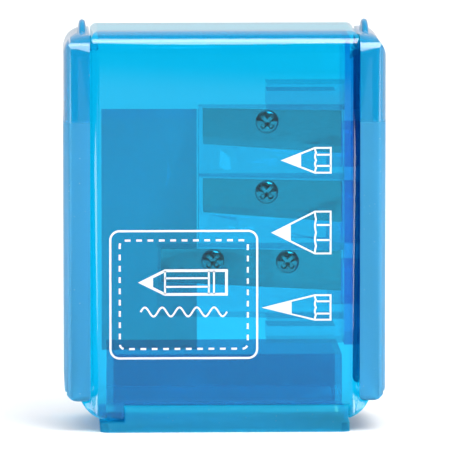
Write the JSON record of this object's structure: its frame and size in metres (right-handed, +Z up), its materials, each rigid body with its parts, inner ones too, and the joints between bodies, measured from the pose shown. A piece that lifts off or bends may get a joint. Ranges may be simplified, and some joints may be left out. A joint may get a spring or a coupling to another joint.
{
  "type": "manual pencil sharpener",
  "caption": "Hand-held pencil sharpener: fixed blades for standard, jumbo and long points in a clear case with hinged side covers and a pull-off shavings tray.",
  "frame": {"origin": "centre of the base plate's underside, below the middle of the case", "axes": "+X towards the pencil holes, -Y towards the front with the printed window, +Z up"},
  "size_m": [0.0566, 0.026, 0.072],
  "materials": {
    "clear_blue": "clear tinted, polished",
    "cover_blue": "gloss above, satin below",
    "tray_blue": "satin",
    "plate_blue": "satin",
    "block_blue": "satin",
    "blade_steel": "ground",
    "screw_steel": "plated",
    "label_paper": "smooth, white"
  },
  "bodies": {
    "case": {"front_shell": "clear_blue", "back_shell": "clear_blue", "pencil_plate": "plate_blue", "upper_clip": "block_blue", "lower_clip": "block_blue", "block_standard": "block_blue", "block_jumbo": "block_blue", "block_long_point": "block_blue", "blade_standard": "blade_steel", "blade_jumbo": "blade_steel", "blade_long_point": "blade_steel", "screw_standard": "screw_steel", "screw_jumbo": "screw_steel", "screw_long_inner": "screw_steel", "screw_long_outer": "screw_steel", "back_label": "label_paper"},
    "right_cover": {"right_cover": "cover_blue"},
    "left_cover": {"left_cover": "cover_blue"},
    "tray": {"shavings_tray": "tray_blue"}
  },
  "joints": [
    {"name": "right_cover_hinge", "type": "hinge", "parent": "case", "child": "right_cover", "pos_m": [0.0247, 0, 0.0064], "axis": [0, 1, 0], "range_deg": [0, 90]},
    {"name": "left_cover_hinge", "type": "hinge", "parent": "case", "child": "left_cover", "pos_m": [-0.0247, 0, 0.0064], "axis": [0, -1, 0], "range_deg": [0, 90]},
    {"name": "tray_slide", "type": "slide", "parent": "case", "child": "tray", "axis": [0, 0, -1], "range_m": [0, 0.012]}
  ]
}
